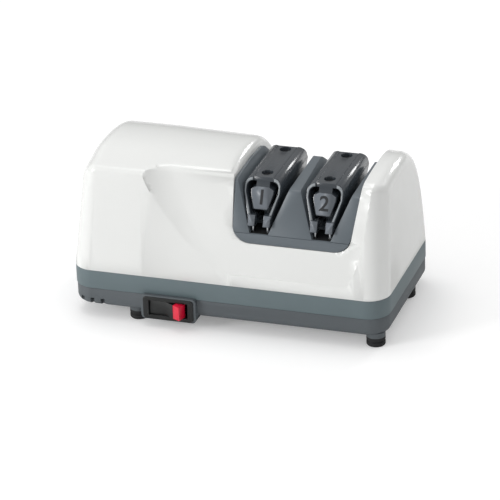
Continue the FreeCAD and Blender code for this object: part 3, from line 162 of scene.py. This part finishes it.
class FinishShop:
    """Mixes each finish once, as a procedural material."""

    COAT_ROUGHNESS = 0.12
    CLOUD_SCALE = 45.0
    CLOUD_DETAIL = 3.0
    GRAIN_DETAIL = 2.0
    TONE_LIMITS = (0.3, 0.7)
    BUMP_STRENGTH = 0.6
    BANDS_PER_SCALE = 20
    BAND_DISTORTION = 0.4
    TURNED_STRETCH = (1.0, 0.06, 0.06)

    def __init__(self) -> None:
        """Start with no material mixed."""
        self.mixed: dict[str, bpy.types.Material] = {}

    def material(self, finish: Finish) -> bpy.types.Material:
        """The material of a finish.

        Args:
            finish: The look to mix.

        Returns:
            The material, mixed on first use.
        """
        if finish.name not in self.mixed:
            self.mixed[finish.name] = self.mix(finish)
        return self.mixed[finish.name]

    def mix(self, finish: Finish) -> bpy.types.Material:
        """Build the node tree of one finish.

        Args:
            finish: The look to mix.

        Returns:
            The new material.
        """
        material = bpy.data.materials.new(finish.name)
        material.use_nodes = True
        tree = material.node_tree
        skin = tree.nodes["Principled BSDF"]
        skin.inputs["Metallic"].default_value = finish.metallic
        skin.inputs["Coat Weight"].default_value = finish.coat
        skin.inputs["Coat Roughness"].default_value = self.COAT_ROUGHNESS
        place = tree.nodes.new("ShaderNodeTexCoord").outputs["Object"]

        cloud = tree.nodes.new("ShaderNodeTexNoise")
        cloud.inputs["Scale"].default_value = self.CLOUD_SCALE
        cloud.inputs["Detail"].default_value = self.CLOUD_DETAIL
        tree.links.new(place, cloud.inputs["Vector"])
        grain = self.grain(tree, place, finish)

        tones = tree.nodes.new("ShaderNodeValToRGB")
        factors = (1 - finish.spread, 1 + finish.spread)
        for stop, position, factor in zip(tones.color_ramp.elements, self.TONE_LIMITS, factors):
            stop.position = position
            stop.color = finish.tone(factor)
        tone_source = cloud if finish.pattern is Pattern.MOULDED else grain
        tree.links.new(tone_source.outputs[0], tones.inputs["Fac"])
        tree.links.new(tones.outputs["Color"], skin.inputs["Base Color"])

        gloss = tree.nodes.new("ShaderNodeMapRange")
        gloss.inputs["To Min"].default_value = finish.roughness - finish.wander
        gloss.inputs["To Max"].default_value = finish.roughness + finish.wander
        tree.links.new(cloud.outputs[0], gloss.inputs["Value"])
        tree.links.new(gloss.outputs["Result"], skin.inputs["Roughness"])

        bump = tree.nodes.new("ShaderNodeBump")
        bump.inputs["Strength"].default_value = self.BUMP_STRENGTH
        bump.inputs["Distance"].default_value = finish.relief * MM
        tree.links.new(grain.outputs[0], bump.inputs["Height"])
        tree.links.new(bump.outputs["Normal"], skin.inputs["Normal"])
        return material

    def grain(self, tree: bpy.types.NodeTree, place: bpy.types.NodeSocket, finish: Finish) -> bpy.types.Node:
        """The fine pattern of a finish.

        Args:
            tree: The material's node tree.
            place: The socket that gives the place on the piece.
            finish: The look that is being mixed.

        Returns:
            A node whose first output runs from 0 to 1 over the pattern.
        """
        scale = 1 / (finish.grain * MM)
        if finish.pattern in (Pattern.STACKED, Pattern.WOUND):
            bands = tree.nodes.new("ShaderNodeTexWave")
            bands.wave_type = "BANDS"
            bands.bands_direction = "X" if finish.pattern is Pattern.STACKED else "Z"
            bands.inputs["Scale"].default_value = scale / self.BANDS_PER_SCALE
            bands.inputs["Distortion"].default_value = self.BAND_DISTORTION
            tree.links.new(place, bands.inputs["Vector"])
            return bands
        noise = tree.nodes.new("ShaderNodeTexNoise")
        noise.inputs["Scale"].default_value = scale
        noise.inputs["Detail"].default_value = self.GRAIN_DETAIL
        if finish.pattern is Pattern.TURNED:
            stretch = tree.nodes.new("ShaderNodeMapping")
            stretch.inputs["Scale"].default_value = self.TURNED_STRETCH
            tree.links.new(place, stretch.inputs["Vector"])
            tree.links.new(stretch.outputs["Vector"], noise.inputs["Vector"])
        else:
            tree.links.new(place, noise.inputs["Vector"])
        return noise


# CAD nodes

@dataclass
class CadDresser:
    """Gives every CAD node its finish and smooth shading, and all but the finest soft edges.

    Attributes:
        shop: Where the materials come from.
        edge_width: Width of a soft edge.
        edge_steps: Number of faces across a soft edge.
        sharp_angle: Turn between two faces past which their edge is softened or split, in degrees.
    """

    shop: FinishShop
    edge_width: float = 0.22 * MM
    edge_steps: int = 2
    sharp_angle: float = 32.0

    # These are too fine for soft edges, so theirs are split.
    FINE_NODES = ("disk_spring_1", "disk_spring_2", "motor_coil", "blade_stop_pins", "switch_terminals")

    def dress_all(self) -> None:
        """Dress each node after the slot that the record gives it."""
        for entry in frame["record"]["subparts"]:
            self.dress(entry["node"], SLOT_FINISHES[entry["material_slot"]])
        log.info("dressed %d nodes", len(frame["nodes"]))

    def dress(self, name: str, finish: Finish) -> None:
        """Dress one node.

        Args:
            name: The node's name.
            finish: Its finish.
        """
        node = frame["nodes"][name]
        node.data.materials.clear()
        node.data.materials.append(self.shop.material(finish))
        node.data.polygons.foreach_set("use_smooth", [True] * len(node.data.polygons))
        weld = node.modifiers.new("joined_corners", "WELD")
        weld.merge_threshold = SAME_PLACE
        if name not in self.FINE_NODES:
            bevel = node.modifiers.new("soft_edges", "BEVEL")
            bevel.width = self.edge_width
            bevel.segments = self.edge_steps
            bevel.limit_method = "ANGLE"
            bevel.angle_limit = math.radians(self.sharp_angle)
            bevel.harden_normals = True
        else:
            split = node.modifiers.new("clean_edges", "EDGE_SPLIT")
            split.split_angle = math.radians(self.sharp_angle)


class PieceMaker:
    """Turns a bmesh into a finished piece that rides on a body."""

    def __init__(self, shop: FinishShop) -> None:
        """Keep the shop that the materials come from."""
        self.shop = shop

    def piece(self, name: str, mesh: bmesh.types.BMesh, finish: Finish, slot: str, body: str) -> None:
        """Make a piece.

        Args:
            name: The piece's name.
            mesh: Its shape in the row frame; it is freed.
            finish: Its finish.
            slot: Not used; the record's material slot that the caller names for it.
            body: The body that it moves with.
        """
        data = bpy.data.meshes.new(name)
        mesh.to_mesh(data)
        mesh.free()
        data.materials.append(self.shop.material(finish))
        made = bpy.data.objects.new(name, data)
        bpy.context.scene.collection.objects.link(made)
        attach(made, body)
        log.info("made %s", name)


def facing_faces(node_name: str, direction: Vector) -> bmesh.types.BMesh:
    """The faces of a CAD node that look one way, as a sheet of their own.

    Args:
        node_name: The node to take them from.
        direction: The way that they look.

    Returns:
        A bmesh with only those faces.
    """
    sheet = bmesh.new()
    sheet.from_mesh(frame["nodes"][node_name].data)
    bmesh.ops.remove_doubles(sheet, verts=sheet.verts, dist=SAME_PLACE)
    sheet.normal_update()
    away = [face for face in sheet.faces if face.normal.dot(direction) < SAME_WAY]
    bmesh.ops.delete(sheet, geom=away, context="FACES")
    bmesh.ops.dissolve_limit(sheet, angle_limit=FLAT_TURN, verts=sheet.verts, edges=sheet.edges)
    return sheet


def keep_side(sheet: bmesh.types.BMesh, height: float, above: bool) -> None:
    """Cut a sheet level and keep one side of the cut.

    Args:
        sheet: The sheet to cut.
        height: Where to cut it.
        above: True to keep what is above, False to keep what is below.
    """
    bmesh.ops.bisect_plane(sheet, geom=sheet.verts[:] + sheet.edges[:] + sheet.faces[:],
                           plane_co=(0, 0, height), plane_no=(0, 0, 1),
                           clear_outer=not above, clear_inner=above)


# Stages

class Side(Enum):
    """A side of the slot, as a guide arm's name gives it."""

    LEFT = "left"
    RIGHT = "right"


@dataclass
class StageFace:
    """The front of one stage: number plate, digit, a strip of painted shade on the slot floor, arm rims of
    painted highlight and pad faces.

    Attributes:
        maker: Makes the pieces.
        number: The stage's number.
        front_ahead: The front's normal has less than this along Y.
        front_rise: Limits between which that normal's Z lies.
        plate_stand: How far the number plate stands out of the core's front.
        plate_drop: How far the plate's top edge lies under the top of the cover.
        plate_inset: How far the plate is drawn in from the edges of the core.
        rim_stand: How far the light rim of painted highlight stands out of an arm's front; the pad face
            stands out as far.
        digit_height: Height of the digit along the leaning front.
        digit_share: Height of a digit as a share of the font's size.
        digit_stand: How far the digit stands out of the plate.
        digit_weight: How far the digit's strokes are thickened to either side.
        rim_inset: How far the light rim of painted highlight is drawn in from the edges of the shell.
        pad_height: Height of an arm's pad.
        pad_inset: How far the pad's face is drawn in from its edges.
        slot_width: Width of the strip of painted shade on the notch's floor, where there is only shadow.
        slot_length: Length of that strip.
        slot_lead: How far the strip starts in front of the stop pins.
    """

    maker: PieceMaker
    number: int
    front_ahead: float = -0.6
    front_rise: tuple[float, float] = (0.2, 0.8)
    plate_stand: float = 0.06 * MM
    plate_drop: float = 5.2 * MM
    plate_inset: float = 0.35 * MM
    rim_stand: float = 0.08 * MM
    digit_height: float = 9.6 * MM
    digit_share: float = 0.72
    digit_stand: float = 0.12 * MM
    digit_weight: float = 0.2 * MM
    rim_inset: float = 0.42 * MM
    pad_height: float = 6.5 * MM
    pad_inset: float = 0.2 * MM
    slot_width: float = 11.6 * MM
    slot_length: float = 17.0 * MM
    slot_lead: float = 2.4 * MM

    def front(self) -> Vector:
        """The way that the leaning front of the stage looks.

        Returns:
            The normal of the cover's largest face that looks forward and up.
        """
        sheet = bmesh.new()
        sheet.from_mesh(frame["nodes"][f"stage_cover_{self.number}"].data)
        sheet.normal_update()
        least, most = self.front_rise
        fronts = [face for face in sheet.faces
                  if face.normal.y < self.front_ahead and least < face.normal.z < most]
        way = max(fronts, key=lambda face: face.calc_area()).normal.copy()
        sheet.free()
        return way

    def build(self) -> None:
        """Make every piece of the stage's front."""
        way = self.front()
        self.plate(way)
        self.digit(way)
        self.slot_floor()
        for side in Side:
            self.rim(way, side)
            self.pad(way, side)

    def raised(self, sheet: bmesh.types.BMesh, way: Vector, stand: float, inset: float) -> None:
        """Draw a flat sheet in a little and give it a thickness.

        Args:
            sheet: The sheet to change.
            way: The way that it looks.
            stand: How far it stands out.
            inset: How far its outline is drawn in.
        """
        bmesh.ops.inset_region(sheet, faces=sheet.faces, thickness=inset, use_even_offset=True,
                               use_boundary=True)
        border = [face for face in sheet.faces if any(edge.is_boundary for edge in face.edges)]
        bmesh.ops.delete(sheet, geom=border, context="FACES")
        lifted = bmesh.ops.extrude_face_region(sheet, geom=sheet.faces[:])
        corners = [item for item in lifted["geom"] if isinstance(item, bmesh.types.BMVert)]
        bmesh.ops.translate(sheet, verts=corners, vec=way * stand)
        bmesh.ops.recalc_face_normals(sheet, faces=sheet.faces)

    def plate(self, way: Vector) -> None:
        """Make the paler plate on the front of the number core.

        Args:
            way: The way that the front looks.
        """
        sheet = facing_faces(f"stage_cover_{self.number}", way)
        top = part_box(f"stage_cover_{self.number}")[1].z - self.plate_drop
        keep_side(sheet, top, above=False)
        self.raised(sheet, way, self.plate_stand, self.plate_inset)
        self.maker.piece(f"number_plate_{self.number}", sheet, PLATE_GREY, "grey_cover", "root")

    def arm_end(self, way: Vector, side: Side, above_pad: bool) -> bmesh.types.BMesh:
        """The front end of one guide arm, above its pad or on it.

        Args:
            way: The way that the front looks.
            side: The arm's side.
            above_pad: True for the thin shell above the pad, False for the pad.

        Returns:
            A bmesh with that part of the end face.
        """
        arm = f"guide_arm_{self.number}_{side.value}"
        sheet = facing_faces(arm, way)
        keep_side(sheet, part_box(arm)[0].z + self.pad_height, above_pad)
        return sheet

    def rim(self, way: Vector, side: Side) -> None:
        """Make the thin light line of painted highlight round the front end of one guide arm.

        Args:
            way: The way that the front looks.
            side: The arm's side.
        """
        sheet = self.arm_end(way, side, above_pad=True)
        self.raised(sheet, way, self.rim_stand, self.rim_inset)
        self.maker.piece(f"arm_rim_highlight_{self.number}_{side.value}", sheet, RIM_HIGHLIGHT_GREY, "grey_cover",
                         f"guide_arm_{self.number}_{side.value}")

    def pad(self, way: Vector, side: Side) -> None:
        """Make the paler face of one guide arm's pad.

        Args:
            way: The way that the front looks.
            side: The arm's side.
        """
        sheet = self.arm_end(way, side, above_pad=False)
        self.raised(sheet, way, self.rim_stand, self.pad_inset)
        self.maker.piece(f"pad_face_{self.number}_{side.value}", sheet, PLATE_GREY, "grey_cover",
                         f"guide_arm_{self.number}_{side.value}")

    def slot_floor(self) -> None:
        """Lay a strip of painted shade on the floor of the notch in front of the disks, where there is only
        shadow.
        """
        low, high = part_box(f"stage_cover_{self.number}")
        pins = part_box("blade_stop_pins")[0]
        sheet = bmesh.new()
        bmesh.ops.create_cube(sheet, size=1)
        bmesh.ops.scale(sheet, vec=(self.slot_width, self.slot_length, self.plate_stand), verts=sheet.verts)
        centre = Vector(((low.x + high.x) / 2, pins.y - self.slot_lead + self.slot_length / 2,
                         pins.z + self.plate_stand / 2))
        bmesh.ops.translate(sheet, vec=centre, verts=sheet.verts)
        # This sheet is painted shade for the dark notch, not a part of the sharpener.
        self.maker.piece(f"slot_floor_{self.number}", sheet, SLOT_SHADOW, "black_plastic", "root")

    def plate_middle(self, way: Vector) -> Vector:
        """The middle of the number plate, on the leaning front.

        Args:
            way: The way that the front looks.

        Returns:
            The point.
        """
        sheet = facing_faces(f"stage_cover_{self.number}", way)
        bottom = min(corner.co.z for corner in sheet.verts)
        on_front = sheet.verts[:][0].co.copy()
        sheet.free()
        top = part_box(f"stage_cover_{self.number}")[1].z - self.plate_drop
        low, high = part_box(f"stage_cover_{self.number}")
        height = (bottom + top) / 2
        depth = on_front.y + (on_front.z - height) * way.z / way.y
        return Vector(((low.x + high.x) / 2, depth, height))

    def digit_outline(self) -> bmesh.types.BMesh:
        """The solid digit, lying flat round the origin.

        Returns:
            A bmesh with the digit.
        """
        letters = bpy.data.curves.new(f"digit_{self.number}_outline", "FONT")
        letters.body = str(self.number)
        letters.size = self.digit_height / self.digit_share
        letters.extrude = self.digit_stand / 2
        letters.offset = self.digit_weight
        letters.align_x = "CENTER"
        letters.align_y = "CENTER"
        carrier = bpy.data.objects.new("digit_carrier", letters)
        bpy.context.scene.collection.objects.link(carrier)
        bpy.context.view_layer.update()
        shape = bmesh.new()
        shape.from_mesh(carrier.evaluated_get(bpy.context.evaluated_depsgraph_get()).to_mesh())
        bpy.data.objects.remove(carrier)
        bmesh.ops.remove_doubles(shape, verts=shape.verts, dist=SAME_PLACE)
        return shape

    def digit(self, way: Vector) -> None:
        """Stand the digit on the number plate.

        Args:
            way: The way that the front looks.
        """
        across = Vector((1, 0, 0))
        up = way.cross(across).normalized()
        turn = Matrix((across, up, way)).transposed().to_4x4()
        place = self.plate_middle(way) + way * (self.plate_stand + self.digit_stand / 2)
        shape = self.digit_outline()
        bmesh.ops.transform(shape, matrix=Matrix.Translation(place) @ turn, verts=shape.verts)
        bmesh.ops.recalc_face_normals(shape, faces=shape.faces)
        self.maker.piece(f"stage_digit_{self.number}", shape, DIGIT_BLACK, "grey_cover", "root")


# Studio

@dataclass(frozen=True)
class Lamp:
    """One soft square lamp.

    Attributes:
        name: The lamp's name.
        place: Where it hangs, in metres.
        size: Edge of its square face, in metres.
        watts: Its power.
    """

    name: str
    place: tuple[float, float, float]
    size: float
    watts: float

    def hang(self, aim: Vector) -> None:
        """Hang the lamp so that it faces a point.

        Args:
            aim: The point that it faces.
        """
        light = bpy.data.lights.new(self.name, "AREA")
        light.size = self.size
        light.energy = self.watts
        lamp = bpy.data.objects.new(self.name, light)
        lamp.location = self.place
        lamp.rotation_euler = (aim - Vector(self.place)).to_track_quat("-Z", "Y").to_euler()
        bpy.context.scene.collection.objects.link(lamp)


LAMPS = (
    Lamp("left_front_lamp", (-1.15, -1.0, 0.5), 0.5, 11.0),
    Lamp("top_lamp", (-0.2, 0.1, 1.4), 0.6, 3.5),
    Lamp("back_lamp", (0.5, 1.25, 0.62), 0.3, 3.0),
)


@dataclass
class Studio:
    """The pale floor, the soft lamps and the white surround.

    Attributes:
        floor_size: Edge of the floor.
        ambient: Level of the surround's light from above.
        horizon: Level of the surround's light from the sides.
        bright_above: Height, as a sine, from which the surround is fully bright.
        floor_tone: Share of the light that the floor gives back.
        floor_roughness: Roughness of the floor.
        floor_shine: Level of the floor's mirror-like share.
        floor_glow: What the floor adds to its own brightness before the camera.
        aim_height: Height of the point that the lamps face.
    """

    floor_size: float = 14.0
    ambient: float = 0.7
    horizon: float = 0.18
    bright_above: float = 0.6
    floor_tone: float = 0.86
    floor_roughness: float = 0.9
    floor_shine: float = 0.1
    floor_glow: float = 0.25
    aim_height: float = 0.06

    def floor(self) -> None:
        """Lay the floor, which shows white to the camera and keeps the shadow."""
        sheet = bmesh.new()
        bmesh.ops.create_grid(sheet, x_segments=1, y_segments=1, size=self.floor_size / 2)
        data = bpy.data.meshes.new("floor")
        sheet.to_mesh(data)
        sheet.free()
        floor = bpy.data.objects.new("floor", data)
        bpy.context.scene.collection.objects.link(floor)
        paint = bpy.data.materials.new("floor_paper")
        paint.use_nodes = True
        tree = paint.node_tree
        skin = tree.nodes["Principled BSDF"]
        skin.inputs["Base Color"].default_value = (self.floor_tone, self.floor_tone, self.floor_tone, 1)
        skin.inputs["Roughness"].default_value = self.floor_roughness
        skin.inputs["Specular IOR Level"].default_value = self.floor_shine
        skin.inputs["Emission Color"].default_value = (1, 1, 1, 1)
        sight = tree.nodes.new("ShaderNodeLightPath")
        level = tree.nodes.new("ShaderNodeMath")
        level.operation = "MULTIPLY"
        level.inputs[1].default_value = self.floor_glow
        tree.links.new(sight.outputs["Is Camera Ray"], level.inputs[0])
        tree.links.new(level.outputs[0], skin.inputs["Emission Strength"])
        data.materials.append(paint)

    def surround(self) -> None:
        """Light the object softly, less from the sides than from above; the camera sees white."""
        world = bpy.data.worlds.new("surround")
        bpy.context.scene.world = world
        world.use_nodes = True
        tree = world.node_tree
        ground = tree.nodes["Background"]
        ground.inputs["Color"].default_value = (1, 1, 1, 1)
        sight = tree.nodes.new("ShaderNodeLightPath")
        seen = tree.nodes.new("ShaderNodeMath")
        seen.operation = "MAXIMUM"
        tree.links.new(sight.outputs["Is Camera Ray"], seen.inputs[0])
        tree.links.new(sight.outputs["Is Transmission Ray"], seen.inputs[1])
        way = tree.nodes.new("ShaderNodeTexCoord")
        parts = tree.nodes.new("ShaderNodeSeparateXYZ")
        tree.links.new(way.outputs["Generated"], parts.inputs["Vector"])
        height = tree.nodes.new("ShaderNodeMath")
        height.operation = "ABSOLUTE"
        tree.links.new(parts.outputs["Z"], height.inputs[0])
        sky = tree.nodes.new("ShaderNodeMapRange")
        sky.inputs["From Max"].default_value = self.bright_above
        sky.inputs["To Min"].default_value = self.horizon
        sky.inputs["To Max"].default_value = self.ambient
        tree.links.new(height.outputs[0], sky.inputs["Value"])
        level = tree.nodes.new("ShaderNodeMapRange")
        level.inputs["To Max"].default_value = 1.0
        tree.links.new(sky.outputs["Result"], level.inputs["To Min"])
        tree.links.new(seen.outputs[0], level.inputs["Value"])
        tree.links.new(level.outputs["Result"], ground.inputs["Strength"])

    def build(self) -> None:
        """Set up floor, surround and lamps."""
        self.floor()
        self.surround()
        for lamp in LAMPS:
            lamp.hang(Vector((0, 0, self.aim_height)))


@dataclass
class PhotoCamera:
    """The camera that sees the object from the photograph's side.

    Attributes:
        place: Where it stands from the middle of the body, in millimetres.
        yaw: How far it has turned from the +Y direction, to the left, in degrees.
        pitch: How far it looks down, in degrees.
        roll: How far it leans, in degrees.
        focus: Focal length over the width of the picture.
        sensor: Width of its sensor, in millimetres.
        reach: How far it sees, in metres.
    """

    place: tuple[float, float, float] = (595.6, -1724.5, 906.1)
    yaw: float = 19.08
    pitch: float = 25.57
    roll: float = 2.18
    focus: float = 6.2696
    sensor: float = 36.0
    reach: float = 50.0

    def build(self) -> None:
        """Set the camera up and look through it."""
        yaw, pitch, roll = (math.radians(angle) for angle in (self.yaw, self.pitch, self.roll))
        ahead = Vector((-math.sin(yaw) * math.cos(pitch), math.cos(yaw) * math.cos(pitch), -math.sin(pitch)))
        level = Vector((math.cos(yaw), math.sin(yaw), 0))
        down = ahead.cross(level)
        right = level * math.cos(roll) + down * math.sin(roll)
        down = ahead.cross(right)
        data = bpy.data.cameras.new("photo_camera")
        data.sensor_width = self.sensor
        data.lens = self.focus * self.sensor
        data.clip_end = self.reach
        camera = bpy.data.objects.new("photo_camera", data)
        turn = Matrix((right, -down, -ahead)).transposed().to_4x4()
        band_low, band_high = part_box("base_band")
        body_middle = Vector((0, (band_low.y + band_high.y) / 2, 0))
        camera.matrix_world = Matrix.Translation(body_middle + millimetres(*self.place)) @ turn
        bpy.context.scene.collection.objects.link(camera)
        bpy.context.scene.camera = camera


def main() -> None:
    """Dress the frame, add the pieces, and set up the studio and the camera."""
    logging.basicConfig(level=logging.INFO, format="%(name)s %(message)s")
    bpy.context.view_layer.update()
    shop = FinishShop()
    maker = PieceMaker(shop)
    CadDresser(shop).dress_all()
    for number in (1, 2):
        StageFace(maker, number).build()
    Studio().build()
    PhotoCamera().build()
    bpy.context.scene.view_settings.view_transform = "Standard"
    bpy.context.view_layer.update()


if __name__ == "__main__":
    main()
